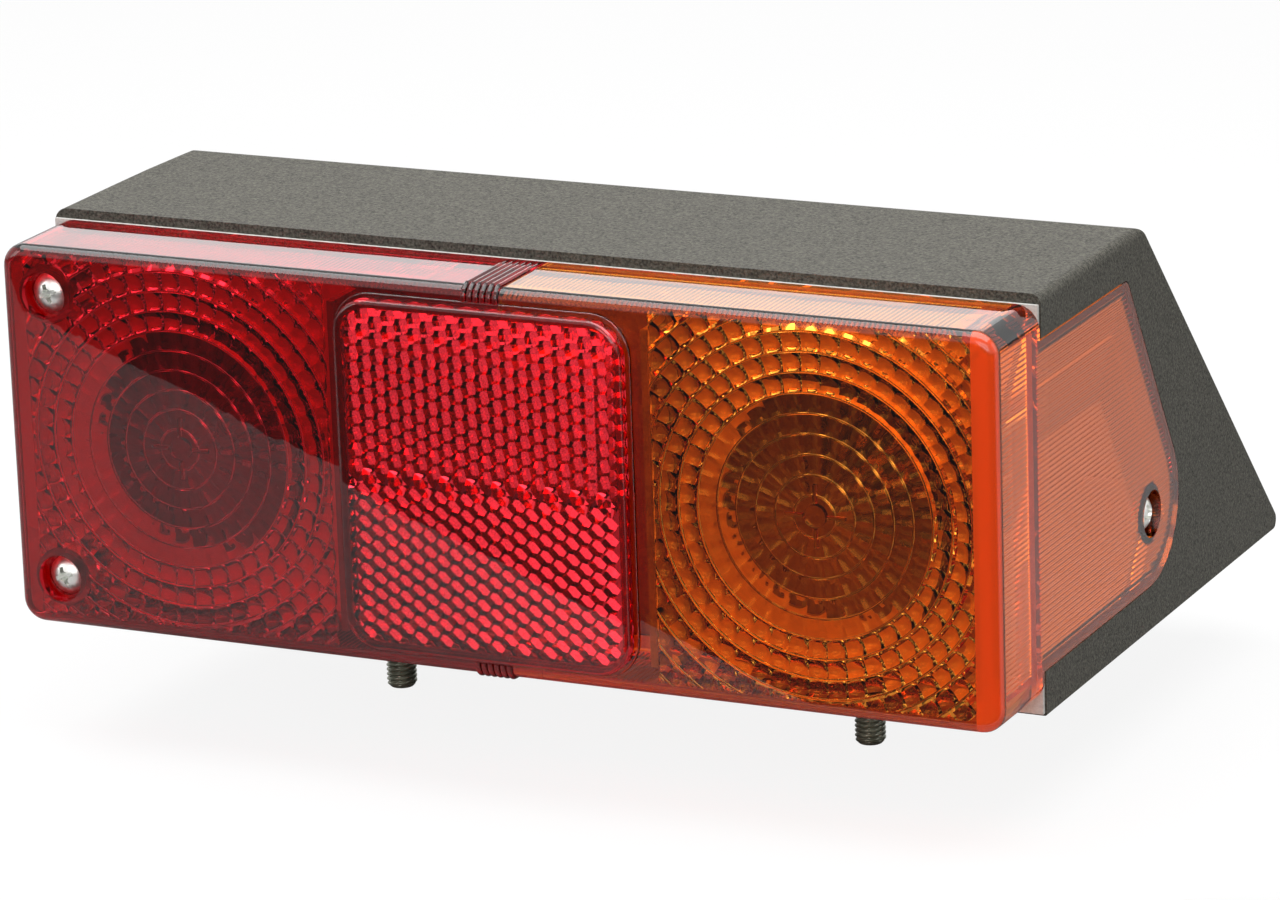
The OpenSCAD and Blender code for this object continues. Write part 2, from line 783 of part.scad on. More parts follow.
// Bulb glass: a ball on a neck, hollow and open at the cap
module bulb_glass(x) {
    start = asin(neck_r / glass_r);
    inner = glass_r - glass_wall;
    start_in = asin((neck_r - glass_wall) / inner);
    steps = 14;
    pts = concat([[neck_r, 0]],
        [for (i = [0:steps]) let (a = start + (180 - start) * i / steps)
            [max(glass_r * sin(a), 0), -glass_up + glass_r * cos(a)]],
        [for (i = [steps:-1:0]) let (a = start_in + (180 - start_in) * i / steps)
            [max(inner * sin(a), 0), -glass_up + inner * cos(a)]],
        [[neck_r - glass_wall, 0]]);
    color("lightcyan")
        turned_y(x, cap_front, mid_z, pts);
}

// Bulb cap: a plain barrel with two bayonet pins
module bulb_cap(x) {
    pin_r = 1;
    pin_y = cap_front + cap_len * 0.55;
    color("goldenrod") {
        rod_y(x, mid_z, cap_r, cap_front, cap_back);
        translate([x, pin_y, mid_z])
            cylinder(h = 2 * (shell_out + 0.4), r = pin_r, center = true);
    }
}

// Filament of length l on two support wires that stand on the cap, set off sideways by dx
module filament(x, dx, height, l) {
    wire_r = 0.35;
    coil_r = 0.7;
    y1 = cap_front - height;
    color("gray") {
        for (s = [-1, 1])
            rod_y(x + dx, mid_z + s * l / 2, wire_r, y1, cap_front);
        translate([x + dx, y1, mid_z])
            cylinder(h = l + 2 * wire_r, r = coil_r, center = true);
    }
}

// Socket: a tube with bayonet slots and the flange that is riveted to the carrier
module socket(x) {
    slot_w = 2.6;
    pin_y = cap_front + cap_len * 0.55;
    color("lightgray")
        difference() {
            union() {
                rod_y(x, mid_z, shell_out, shell_front, shell_back);
                rod_y(x, mid_z, flange_r, collar_back, collar_back + flange_t);
            }
            rod_y(x, mid_z, shell_r, shell_front - over, shell_back + over);
            along_y(rect(x - slot_w / 2, x + slot_w / 2, mid_z - shell_out - 0.6,
                mid_z + shell_out + 0.6), shell_front - over, pin_y + slot_w / 2);
            for (s = [-1, 1])
                rod_y(x, mid_z + s * rivet_at, rivet_r + snug, collar_back - over,
                    collar_back + flange_t + over);
        }
}

// Insulating disc inside the socket, with a hole for each contact
module insulator(x, offsets) {
    color("saddlebrown")
        difference() {
            rod_y(x, mid_z, shell_r - snug, insulator_back - insulator_t, insulator_back);
            for (dx = offsets)
                rod_y(x + dx, mid_z, contact_r + snug, insulator_back - insulator_t - over,
                    insulator_back + over);
        }
}

// Contact plungers that press on the foot of the bulb, each with its shoulder
module contacts(x, offsets) {
    color("gold")
        for (dx = offsets) {
            rod_y(x + dx, mid_z, contact_r, cap_back, contact_back);
            rod_y(x + dx, mid_z, contact_r + 0.6, insulator_back - insulator_t - 1.2,
                insulator_back - insulator_t);
        }
}

// Rivets that join both sockets to the carrier
module socket_rivets() {
    head_r = rivet_r + 0.9;
    head_t = 0.8;
    front = collar_back - collar_t;
    back = collar_back + flange_t;
    color("silver")
        for (x = [-lamp_x, lamp_x], s = [-1, 1]) {
            z = mid_z + s * rivet_at;
            rod_y(x, z, rivet_r, front, back);
            rod_y(x, z, head_r, front - head_t, front);
            rod_y(x, z, head_r, back, back + head_t);
        }
}

// Terminal block on the housing's floor
module terminal_block() {
    top = wall + block_h;
    color("black")
        difference() {
            along_z(round_rect(-block_w / 2, block_w / 2, block_back, block_back + block_d, 1.5),
                wall, top);
            for (x = terminal_xs) {
                rod_y(x, tube_z, tube_r + snug, block_back - over, block_back + block_d + over);
                for (y = clamp_ys)
                    translate([x, y, tube_z])
                        cylinder(h = block_h, r = shaft_r);
            }
            for (x = [-1, 1])
                translate([x * terminal_pitch, block_screw_y, wall - over]) {
                    cylinder(h = block_h + 2 * over, r = block_screw_r + snug);
                    translate([0, 0, block_h - 2])
                        cylinder(h = 4, r = 2 * block_screw_r + loose);
                }
        }
}

// Brass tubes of the terminal block
module terminal_tubes() {
    color("gold")
        for (x = terminal_xs)
            difference() {
                rod_y(x, tube_z, tube_r, block_back + tube_inset,
                    block_back + block_d - tube_inset);
                rod_y(x, tube_z, tube_bore, block_back, block_back + block_d);
                for (y = clamp_ys)
                    translate([x, y, tube_z])
                        cylinder(h = tube_r + over, r = clamp_r + snug);
            }
}

// Clamping screws of the terminal block
module terminal_screws() {
    head_t = 1.6;
    tip_z = tube_z + lead_r;
    head_z = tube_z + tube_r + 0.4;
    color("silver")
        for (x = terminal_xs, y = clamp_ys)
            translate([x, y, 0])
                difference() {
                    union() {
                        translate([0, 0, tip_z])
                            cylinder(h = head_z - tip_z, r = clamp_r);
                        translate([0, 0, head_z])
                            cylinder(h = head_t, r = shaft_r - loose);
                    }
                    translate([-shaft_r, -0.3, head_z + head_t * 0.5])
                        cube([2 * shaft_r, 0.6, head_t]);
                }
}

// Screws that hold the terminal block on the floor
module block_screws() {
    length = block_h - 2 + 2;
    color("silver")
        for (x = [-1, 1])
            translate([x * terminal_pitch, block_screw_y, wall + block_h - 2])
                rotate([180, 0, 0])
                    pan_screw(2 * block_screw_r, length, 4 * block_screw_r, 1.8);
}

// Rubber grommet of the cable entry, in a rebate of the floor
module cable_grommet() {
    lip = 2.5;
    bore = cable_d / 2;
    color("black")
        translate([0, cable_back, 0])
            rotate_extrude()
                polygon([[bore, 0.2], [grommet_r, 0.2], [grommet_r, grommet_rebate],
                    [grommet_neck, grommet_rebate], [grommet_neck, wall], [grommet_r, wall],
                    [grommet_r - 1, wall + lip], [bore, wall + lip]]);
}

// Steel plate on the floor that spreads the load of the stud heads
module spreader_plate() {
    color("silver")
        difference() {
            along_z(round_rect(-spread_x, spread_x, -spread_d / 2, spread_d / 2, 4), wall,
                spread_z);
            for (x = stud_xs)
                translate([x, 0, wall - over])
                    cylinder(h = spread_t + 2 * over, r = stud_d / 2 + loose);
        }
}

// Two studs: hexagon heads on the spreader plate, plain shanks through the floor, threads below
module mount_studs() {
    chamfer = 1;
    color("slategray")
        for (x = stud_xs)
            translate([x, 0, 0]) {
                translate([0, 0, spread_z])
                    cylinder(h = head_h, r = head_r, $fn = 6);
                cylinder(h = spread_z, r = shank_r);
                translate([0, 0, chamfer - stud_len])
                    cylinder(h = stud_len - chamfer, r = stud_d / 2);
                translate([0, 0, -stud_len])
                    cylinder(h = chamfer, r1 = stud_d / 2 - chamfer, r2 = stud_d / 2);
            }
}

// Insulated lead along a list of points
module lead(path) {
    for (i = [0:len(path) - 2]) {
        d = path[i + 1] - path[i];
        translate(path[i]) {
            rotate([0, acos(d.z / norm(d)), atan2(d.y, d.x)])
                cylinder(h = norm(d), r = lead_r);
            if (i > 0)
                sphere(r = lead_r);
        }
    }
}

// Lead from a contact at x, down at a distance back, along the floor and into a terminal
module contact_lead(x, back, terminal) {
    lead([[x, contact_back, mid_z], [x, back, mid_z], [x, back, tube_z],
        [terminal, back, tube_z], [terminal, clamp_ys[0] + 2, tube_z]]);
}

module tail_lead() {
    color("yellow")
        contact_lead(-lamp_x - contact_x, lead_far, terminal_xs[0]);
}

module stop_lead() {
    color("red")
        contact_lead(-lamp_x + contact_x, lead_near, terminal_xs[1]);
}

module indicator_lead() {
    color("green")
        contact_lead(lamp_x, lead_near, terminal_xs[2]);
}

// Earth leads: from the indicator socket to its terminal, and from the tail socket to the plate
module earth_leads() {
    side = shell_out + 3;
    y = shell_back - 4;
    color("sienna") {
        lead([[lamp_x + shell_out, y, mid_z], [lamp_x + side, y, mid_z],
            [lamp_x + side, y, tube_z], [lamp_x + side, lead_far, tube_z],
            [terminal_xs[3], lead_far, tube_z], [terminal_xs[3], clamp_ys[0] + 2, tube_z]]);
        lead([[-lamp_x - shell_out, y, mid_z], [-lamp_x - side, y, mid_z],
            [-lamp_x - side, y, tube_z], [-earth_x, y, tube_z], [-earth_x, y, spread_z]]);
    }
}

housing();
red_lens();
amber_lens();
reflex_reflector();
lens_gasket();
lens_screws();
screw_inserts();
bulb_carrier();
carrier_screws();
bulb_glass(-lamp_x);  // tail_bulb_glass
bulb_cap(-lamp_x);  // tail_bulb_cap
union() {  // tail_filaments
    filament(-lamp_x, -2, glass_up - 3, dim_filament_l);
    filament(-lamp_x, 2, glass_up, filament_l);
}
socket(-lamp_x);  // tail_socket
insulator(-lamp_x, [-contact_x, contact_x]);  // tail_insulator
contacts(-lamp_x, [-contact_x, contact_x]);  // tail_contacts
bulb_glass(lamp_x);  // indicator_bulb_glass
bulb_cap(lamp_x);  // indicator_bulb_cap
filament(lamp_x, 0, glass_up, filament_l);  // indicator_filament
socket(lamp_x);  // indicator_socket
insulator(lamp_x, [0]);  // indicator_insulator
contacts(lamp_x, [0]);  // indicator_contact
socket_rivets();
terminal_block();
terminal_tubes();
terminal_screws();
block_screws();
cable_grommet();
spreader_plate();
mount_studs();
tail_lead();
stop_lead();
indicator_lead();
earth_leads();
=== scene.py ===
"""Looks of the tail light cluster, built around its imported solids: the fluted lenses with their ring
optics, the reflex reflector, the threaded fasteners, every material, the studio and the camera."""

import math

import bmesh
import bpy
from mathutils import Matrix, Vector


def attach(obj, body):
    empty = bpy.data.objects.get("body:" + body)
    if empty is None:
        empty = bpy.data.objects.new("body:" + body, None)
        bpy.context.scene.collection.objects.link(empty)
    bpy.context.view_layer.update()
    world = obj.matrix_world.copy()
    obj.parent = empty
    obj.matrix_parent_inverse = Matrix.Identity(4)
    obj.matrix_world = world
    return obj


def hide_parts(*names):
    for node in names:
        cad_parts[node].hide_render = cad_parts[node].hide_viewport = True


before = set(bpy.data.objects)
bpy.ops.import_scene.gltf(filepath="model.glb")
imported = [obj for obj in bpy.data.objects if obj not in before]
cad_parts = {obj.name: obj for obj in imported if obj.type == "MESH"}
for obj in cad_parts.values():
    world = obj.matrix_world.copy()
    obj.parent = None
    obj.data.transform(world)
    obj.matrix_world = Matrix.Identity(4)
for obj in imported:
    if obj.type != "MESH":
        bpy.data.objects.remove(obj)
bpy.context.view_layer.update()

MM = 0.001

# Sizes of the object in millimetres, in the frame of the solids
HALF_W = 133.0
LENS_FRONT, LENS_BACK = -76.0, -49.02
LENS_Z0, LENS_Z1 = 3.5, 101.5
MID_Z = (LENS_Z0 + LENS_Z1) / 2
LENS_WALL = 2.5
CORNER_R, EDGE_R = 6.0, 3.0
INNER_FRONT = LENS_FRONT + LENS_WALL
SEAM_X = 5.35
SEAM_GAP = 0.02
LAMP_X = 85.5
PARTITION_X = 42.0
RING_PITCH, BEAD_H = 5.0, 0.2
MARK_R, MARK_H = 2.8, 1.8
SPOKE_FROM, SPOKE_TO, SPOKE_HALF, SPOKE_H = 3.2, 7.8, 0.38, 1.3
FLUTE_PITCH, FLUTE_TIP, PLATE_TIP, FLUTE_STOP = 1.3, 0.30, 0.34, 3.5
RIB_PITCH, RIB_R = 1.7, 0.76
THICK_WALL = 6.9
HOOD_FRONT, HOOD_MOUTH_R, HOOD_INSET, HOOD_T = -60.0, 29.0, 7.0, 1.2
HOOD_SPANS = ((-125.0, -43.2), (43.2, 120.0))
SCREW_X, SCREW_ZS = -121.0, (15.85, 89.15)
SCREW_SEAT = -71.0
WELL_R, CUP_R = 6.0, 7.6
SCREW_HOLE_R = 2.8
SCREW_LEN, SIDE_SCREW_LEN = 33.5, 13.5
HEAD_R, HEAD_H, DOME_R = 5.0, 3.45, 6.2
SIDE_SCREW_Y, SIDE_SCREW_Z, SIDE_SEAT = 23.3, 29.7, 129.0
PLATE_Z0, PLATE_Z1, PLATE_BORDER = 11.5, 93.0, 1.8
PLATE_TOP_Y, PLATE_BASE_Y = 8.0, 57.0
PAD_W, PAD_H, PAD_T = 39.7, 45.45, 0.8
REFLECTOR_W, REFLECTOR_H, REFLECTOR_R, REFLECTOR_T = 38.5, 44.25, 9.0, 3.0
REFLECTOR_RIM = 2.2
CELL_R = 2.333
STUD_X, STUD_R, STUD_LEN, STUD_HEAD_Z, STUD_HEAD_H = 66.0, 4.0, 30.0, 6.5, 5.3
THREAD_PITCH, THREAD_DEPTH, HEX_AF = 1.25, 0.62, 13.0

# Rings of each optic, how many of them have strips instead of pillows, ribs, the share of a ring that
# its bead takes, and the turn of the screws' recesses in radians
RING_COUNT, STRIP_RINGS, RIB_COUNT = 12, 5, 6
BEAD = 0.11
RECESS_TURN = 0.35


# Outlines

def corner(p, q, s, r, n):
    """Corner q between p and s, rounded to radius r in n steps."""
    if r <= 0:
        return [q]
    p, q, s = Vector(p), Vector(q), Vector(s)
    a, b = (p - q).normalized(), (s - q).normalized()
    half = math.acos(max(-1, min(1, a.dot(b)))) / 2
    c = q + (a + b).normalized() * r / math.sin(half)
    t0 = q + a * r / math.tan(half) - c
    t1 = q + b * r / math.tan(half) - c
    a0 = math.atan2(t0.y, t0.x)
    sweep = (math.atan2(t1.y, t1.x) - a0 + 3 * math.pi) % (2 * math.pi) - math.pi
    return [
        (c.x + r * math.cos(a0 + sweep * i / n), c.y + r * math.sin(a0 + sweep * i / n))
        for i in range(n + 1)
    ]


def rounded(points, radii):
    """Closed outline through the points, with a radius at each corner."""
    k = len(points)
    out = []
    for i in range(k):
        out += corner(points[i - 1], points[i], points[(i + 1) % k], radii[i], 8)
    return out


def rect(a0, a1, b0, b1):
    return [(a0, b0), (a1, b0), (a1, b1), (a0, b1)]


def round_rect(a0, a1, b0, b1, r):
    return rounded(rect(a0, a1, b0, b1), [r] * 4)


def plate_outline(g, y0):
    """Outline of the side plate in Y and Z, larger by g all round and reaching forward to y0."""
    lean = (PLATE_BASE_Y - PLATE_TOP_Y) / (PLATE_Z1 - PLATE_Z0)
    shift = g * math.sqrt(1 + lean * lean)
    points = [
        (y0, PLATE_Z0 - g),
        (PLATE_BASE_Y + g * lean + shift, PLATE_Z0 - g),
        (PLATE_TOP_Y - g * lean + shift, PLATE_Z1 + g),
        (y0, PLATE_Z1 + g),
    ]
    return rounded(points, [0, 20 + g, max(3 + g, 0.5), 0])


def reflector_outline(d):
    """Outline of the reflector in X and Z, smaller by d all round."""
    w, h = REFLECTOR_W - d, REFLECTOR_H - d
    return round_rect(-w, w, MID_Z - h, MID_Z + h, REFLECTOR_R - d)


# Solids

def solid(name, verts, faces):
    """Closed mesh object in millimetres, with its faces turned outwards."""
    mesh = bpy.data.meshes.new(name)
    mesh.from_pydata([tuple(v) for v in verts], [], faces)
    work = bmesh.new()
    work.from_mesh(mesh)
    bmesh.ops.triangulate(work, faces=[f for f in work.faces if len(f.verts) > 4])
    bmesh.ops.recalc_face_normals(work, faces=work.faces)
    work.to_mesh(mesh)
    work.free()
    obj = bpy.data.objects.new(name, mesh)
    bpy.context.scene.collection.objects.link(obj)
    return obj


def loft(name, rings):
    """Closed solid through rings of as many points each."""
    n = len(rings[0])
    verts = [p for ring in rings for p in ring]
    faces = []
    for k in range(len(rings) - 1):
        for i in range(n):
            j = (i + 1) % n
            faces.append((k * n + i, k * n + j, (k + 1) * n + j, (k + 1) * n + i))
    faces.append(tuple(range(n)))
    faces.append(tuple(range((len(rings) - 1) * n, len(rings) * n)))
    return solid(name, verts, faces)


def along_y(name, outline, y0, y1):
    return loft(name, [[(x, y, z) for x, z in outline] for y in (y0, y1)])


def along_x(name, outline, x0, x1):
    return loft(name, [[(x, y, z) for y, z in outline] for x in (x0, x1)])


def block(name, x0, x1, y0, y1, z0, z1):
    return along_y(name, rect(x0, x1, z0, z1), y0, y1)


def circle(cx, cy, r, n=64):
    return [
        (cx + r * math.cos(2 * math.pi * i / n), cy + r * math.sin(2 * math.pi * i / n))
        for i in range(n)
    ]


def rod_y(name, x, z, r, y0, y1):
    return along_y(name, circle(x, z, r), y0, y1)


def rod_x(name, y, z, r, x0, x1):
    return along_x(name, circle(y, z, r), x0, x1)


def rounded_box(name, x0, x1, z0, z1, corner_r, y0, y1, edge_r, steps=8):
    """Box with rounded corners seen from the front and a rounded edge round its front face."""
    rings = []
    for i in range(steps + 1):
        a = math.pi / 2 * i / steps
        inset = edge_r * (1 - math.sin(a))
        y = y0 + edge_r * (1 - math.cos(a))
        r = max(corner_r - inset, 0.3)
        outline = round_rect(x0 + inset, x1 - inset, z0 + inset, z1 - inset, r)
        rings.append([(x, y, z) for x, z in outline])
    rings.append([(x, y1, z) for x, _, z in rings[-1]])
    return loft(name, rings)


def tube(name, path, radii):
    """Round bar along a path of points, with a radius at each of them."""
    n = 14
    rings = []
    side = Vector((1, 0, 0))
    for k, p in enumerate(path):
        a, b = path[max(k - 1, 0)], path[min(k + 1, len(path) - 1)]
        t = (Vector(b) - Vector(a)).normalized()
        up = t.cross(side).normalized()
        ring = []
        for i in range(n):
            turn = 2 * math.pi * i / n
            ring.append(Vector(p) + (side * math.cos(turn) + up * math.sin(turn)) * radii[k])
        rings.append(ring)
    return loft(name, rings)


def turned(name, profile, place, n=48):
    """Solid of revolution: the profile holds (radius, distance along the axis) and starts and ends on
    the axis; place turns (x, y, distance) into a point."""
    rings = [(r, t) for r, t in profile if r > 0]
    verts, faces = [], []
    for r, t in rings:
        for i in range(n):
            a = 2 * math.pi * i / n
            verts.append(place(r * math.cos(a), r * math.sin(a), t))
    for k in range(len(rings) - 1):
        for i in range(n):
            j = (i + 1) % n
            faces.append((k * n + i, k * n + j, (k + 1) * n + j, (k + 1) * n + i))
    for k, t in ((0, profile[0][1]), (len(rings) - 1, profile[-1][1])):
        verts.append(place(0, 0, t))
        for i in range(n):
            faces.append((k * n + i, k * n + (i + 1) % n, len(verts) - 1))
    return solid(name, verts, faces)


def combine(base, *steps):
    """Applies (operation, solid) steps to the base in order; the tools are used up."""
    for operation, other in steps:
        m = base.modifiers.new("step", "BOOLEAN")
        m.operation = operation
        m.solver = "MANIFOLD"
        m.object = other
    bpy.context.view_layer.update()
    graph = bpy.context.evaluated_depsgraph_get()
    mesh = bpy.data.meshes.new_from_object(base.evaluated_get(graph))
    base.modifiers.clear()
    base.data = mesh
    for _, other in steps:
        bpy.data.objects.remove(other)
    return base


def joined(parts):
    """One object that holds the meshes of several solids, which don't touch each other."""
    work = bmesh.new()
    for part in parts:
        work.from_mesh(part.data)
    mesh = bpy.data.meshes.new(parts[0].name)
    work.to_mesh(mesh)
    work.free()
    for part in parts[1:]:
        bpy.data.objects.remove(part)
    parts[0].data = mesh
    return parts[0]


def finished(obj, material, nodes, angle=20):
    """Turns a solid into a piece of the model: metres, smooth shading up to an angle in degrees, material
    and body, and hides the imported solids of the nodes that it stands for."""
    mesh = obj.data
    mesh.transform(Matrix.Scale(MM, 4))
    mesh.polygons.foreach_set("use_smooth", [True] * len(mesh.polygons))
    mesh.set_sharp_from_angle(angle=math.radians(angle))
    weighted = obj.modifiers.new("weighted", "WEIGHTED_NORMAL")
    weighted.keep_sharp = True
    mesh.materials.clear()
    mesh.materials.append(material)
    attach(obj, "root")
    if nodes:
        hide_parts(*nodes)


# Materials

class Nodes:
    """Short way to write a material's nodes."""

    def __init__(self, name):
        self.material = bpy.data.materials.new(name)
        self.material.use_nodes = True
        self.tree = self.material.node_tree
        self.tree.nodes.clear()
        self.place = self.add("ShaderNodeTexCoord").outputs["Object"]

    def add(self, kind, **values):
        node = self.tree.nodes.new(kind)
        for key, value in values.items():
            name = key.replace("_", " ")
            if name in node.inputs:
                self.set(node.inputs[name], value)
            else:
                setattr(node, key, value)
        return node

    def set(self, socket, value):
        if isinstance(value, bpy.types.NodeSocket):
            self.tree.links.new(value, socket)
        else:
            socket.default_value = value

    def noise(self, scale, detail=2.0, roughness=0.5):
        node = self.add("ShaderNodeTexNoise", Vector=self.place, Scale=scale, Detail=detail,
                        Roughness=roughness)
        return node.outputs["Fac"]

    def range(self, value, low, high, to_low, to_high):
        node = self.add("ShaderNodeMapRange", Value=value)
        for key, v in (("From Min", low), ("From Max", high), ("To Min", to_low), ("To Max", to_high)):
            node.inputs[key].default_value = v
        return node.outputs["Result"]

    def mix(self, factor, a, b):
        node = self.add("ShaderNodeMix", data_type="RGBA")
        self.set(node.inputs["Factor"], factor)
        self.set(node.inputs[6], a)
        self.set(node.inputs[7], b)
        return node.outputs[2]

    def times(self, a, b):
        node = self.add("ShaderNodeMath", operation="MULTIPLY")
        self.set(node.inputs[0], a)
        self.set(node.inputs[1], b)
        return node.outputs[0]

    def blend(self, factor, a, b):
        node = self.add("ShaderNodeMixShader")
        for socket, value in zip(node.inputs, (factor, a, b)):
            self.set(socket, value)
        return node.outputs[0]

    def bump(self, height, distance):
        node = self.add("ShaderNodeBump", Height=height, Distance=distance, Strength=1.0)
        return node.outputs["Normal"]

    def output(self, shader):
        out = self.add("ShaderNodeOutputMaterial")
        self.tree.links.new(shader, out.inputs["Surface"])
        return self.material


def rgba(c):
    return (c[0], c[1], c[2], 1.0)


def scaled(c, k):
    return (c[0] * k, c[1] * k, c[2] * k)


def opaque(name, dark, light, rough, grain, mottle, metallic=0.0, **extra):
    """Solid material: colour between dark and light by a mottle of the given scale, roughness between
    the two values of rough, and a fine grain given as (scale, distance in metres)."""
    n = Nodes(name)
    patches = n.noise(mottle, 4.0, 0.6)
    colour = n.mix(n.range(patches, 0.3, 0.7, 0.0, 1.0), rgba(dark), rgba(light))
    fine = n.noise(grain[0], 3.0, 0.55)
    roughness = n.range(n.noise(mottle * 3, 3.0, 0.6), 0.3, 0.7, rough[0], rough[1])
    p = n.add("ShaderNodeBsdfPrincipled", Base_Color=colour, Roughness=roughness, Metallic=metallic,
              Normal=n.bump(fine, grain[1]), **extra)
    return n.output(p.outputs["BSDF"])


def clear(name, tint, rough=0.0, ior=1.54, wave=(90, 2e-5), thick_from=None):
    """Clear coloured plastic or glass with the faint waviness of a moulding, given as (scale, distance
    in metres). Lamps light what is behind it through its tint. Beyond thick_from on X the wall is thick
    and its colour deeper; its front face there is made partly opaque in a saturated amber, a painted glow
    in place of the light that the thick wall carries."""
    n = Nodes(name)
    patches = n.range(n.noise(25, 2.0), 0.3, 0.7, 0.0, 1.0)
    colour = n.mix(patches, rgba(scaled(tint, 0.94)), rgba(tint))
    p = n.add("ShaderNodeBsdfPrincipled", Base_Color=colour, Roughness=rough, IOR=ior,
              Transmission_Weight=1.0, Normal=n.bump(n.noise(wave[0], 2.0), wave[1]))
    if thick_from:
        axes = n.add("ShaderNodeSeparateXYZ", Vector=n.place)
        thick = n.range(axes.outputs["X"], thick_from - 1e-4, thick_from, 0.0, 1.0)
        # The front face of the thick end is painted: partly opaque and saturated amber, a painted glow in
        # place of light carried through the thick wall
        face = n.range(axes.outputs["Y"], PAINTED_GLOW_TO, PAINTED_GLOW_TO + 8e-4, 1.0, 0.0)
        painted_glow = n.times(thick, face)
        n.set(p.inputs["Transmission Weight"], n.range(painted_glow, 0.0, 1.0, 1.0, PAINTED_GLOW_CLEARNESS))
        deep = n.mix(thick, colour, rgba(DEEP_AMBER))
        n.set(p.inputs["Base Color"], n.mix(painted_glow, deep, rgba(PAINTED_GLOW_AMBER)))
    film = n.add("ShaderNodeBsdfTransparent", Color=rgba([math.sqrt(c) for c in tint]))
    path = n.add("ShaderNodeLightPath")
    return n.output(n.blend(path.outputs["Is Shadow Ray"], p.outputs["BSDF"], film.outputs["BSDF"]))


RED = (0.68, 0.013, 0.024)
AMBER = (1.0, 0.34, 0.035)
DEEP_AMBER = (0.98, 0.17, 0.010)
# Painted glow: saturated amber on the front of the amber lens's thick end, in place of light carried
# through the thick wall
PAINTED_GLOW_AMBER = (1.0, 0.08, 0.005)
REFLECTOR_RED = (0.94, 0.03, 0.05)
GLASS = (0.96, 0.97, 0.96)
# Share of light that the painted glow strip still lets through
PAINTED_GLOW_CLEARNESS = 0.4

# Places in metres: the amber lens's thick end starts at this X, and its front face carries the painted
# glow up to this Y
THICK_FROM, PAINTED_GLOW_TO = 0.1266, -0.0742

M = {
    "red": clear("lens_red", RED),
    "amber": clear("lens_amber", AMBER, thick_from=THICK_FROM),
    "reflector": clear("reflector_red", REFLECTOR_RED, 0.01),
    "bulb": clear("bulb_glass", GLASS, 0.0, 1.5, (60, 4e-5)),
    "housing": opaque("housing_black", (0.005, 0.0045, 0.003), (0.115, 0.109, 0.088),
                      (0.55, 0.72), (2200, 3e-4), 1400, Specular_IOR_Level=0.25),
}

# Key, name, darker and lighter colour, roughness, grain, scale of the mottle, and 1 for a metal
OPAQUE = [
    ("gasket", "gasket_grey", (0.44, 0.43, 0.41), (0.60, 0.59, 0.56), (0.8, 0.95), (3000, 1.2e-4), 900),
    ("zinc", "zinc", (0.78, 0.80, 0.77), (0.92, 0.92, 0.88), (0.28, 0.42), (1800, 1.5e-5), 700, 1.0),
    ("stud", "stud_steel", (0.23, 0.24, 0.19), (0.42, 0.43, 0.36), (0.32, 0.5), (2400, 2e-5), 400, 1.0),
    ("brass", "brass", (0.62, 0.45, 0.18), (0.80, 0.62, 0.30), (0.2, 0.35), (1500, 1e-5), 300, 1.0),
    ("carrier", "carrier_grey", (0.15, 0.145, 0.13), (0.24, 0.23, 0.21), (0.22, 0.34), (900, 2e-5), 120),
    ("tungsten", "tungsten", (0.22, 0.21, 0.2), (0.34, 0.33, 0.32), (0.35, 0.5), (4000, 1e-5), 900, 1.0),
    ("brown", "insulator_brown", (0.16, 0.07, 0.03), (0.27, 0.13, 0.055), (0.55, 0.7), (1600, 4e-5), 500),
    ("block", "block_black", (0.02, 0.02, 0.02), (0.035, 0.035, 0.035), (0.35, 0.5), (1200, 2e-5), 300),
    ("rubber", "grommet_rubber", (0.012, 0.012, 0.012), (0.022, 0.022, 0.022), (0.65, 0.8), (1500, 3e-5),
     300),
    ("yellow", "lead_yellow", (0.70, 0.48, 0.03), (0.80, 0.58, 0.05), (0.35, 0.45), (900, 1e-5), 200),
    ("crimson", "lead_red", (0.48, 0.02, 0.02), (0.60, 0.035, 0.03), (0.35, 0.45), (900, 1e-5), 200),
    ("green", "lead_green", (0.02, 0.24, 0.06), (0.04, 0.33, 0.09), (0.35, 0.45), (900, 1e-5), 200),
    ("umber", "lead_brown", (0.14, 0.06, 0.025), (0.2, 0.09, 0.04), (0.35, 0.45), (900, 1e-5), 200),
]
for key, *values in OPAQUE:
    M[key] = opaque(*values)

# Solids that stay as they are, and the material that each gets
KEPT_NODES = {
    "housing": "housing", "lens_gasket": "gasket", "screw_inserts": "brass", "bulb_carrier": "carrier",
    "carrier_screws": "zinc", "tail_bulb_glass": "bulb", "indicator_bulb_glass": "bulb",
    "tail_bulb_cap": "brass", "indicator_bulb_cap": "brass", "tail_filaments": "tungsten",
    "indicator_filament": "tungsten", "tail_socket": "zinc", "indicator_socket": "zinc",
    "tail_insulator": "brown", "indicator_insulator": "brown", "tail_contacts": "brass",
    "indicator_contact": "brass", "socket_rivets": "zinc", "terminal_block": "block",
    "terminal_tubes": "brass", "terminal_screws": "zinc", "block_screws": "zinc",
    "cable_grommet": "rubber", "spreader_plate": "zinc", "tail_lead": "yellow",
    "stop_lead": "crimson", "indicator_lead": "green", "earth_leads": "umber",
}
for node, key in KEPT_NODES.items():
    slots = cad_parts[node].data.materials
    slots.clear()
    slots.append(M[key])


# Lens

def zipper(a, b):
    """Triangles between two closed loops, each a list of (angle, vertex index) in rising order."""
    faces = []
    i = j = 0
    while i < len(a) or j < len(b):
        if j == len(b) or (i < len(a) and a[i][0] <= b[j][0]):
            faces.append((a[i % len(a)][1], a[(i + 1) % len(a)][1], b[j % len(b)][1]))
            i += 1
        else:
            faces.append((b[j % len(b)][1], a[i % len(a)][1], b[(j + 1) % len(b)][1]))
            j += 1
    return faces


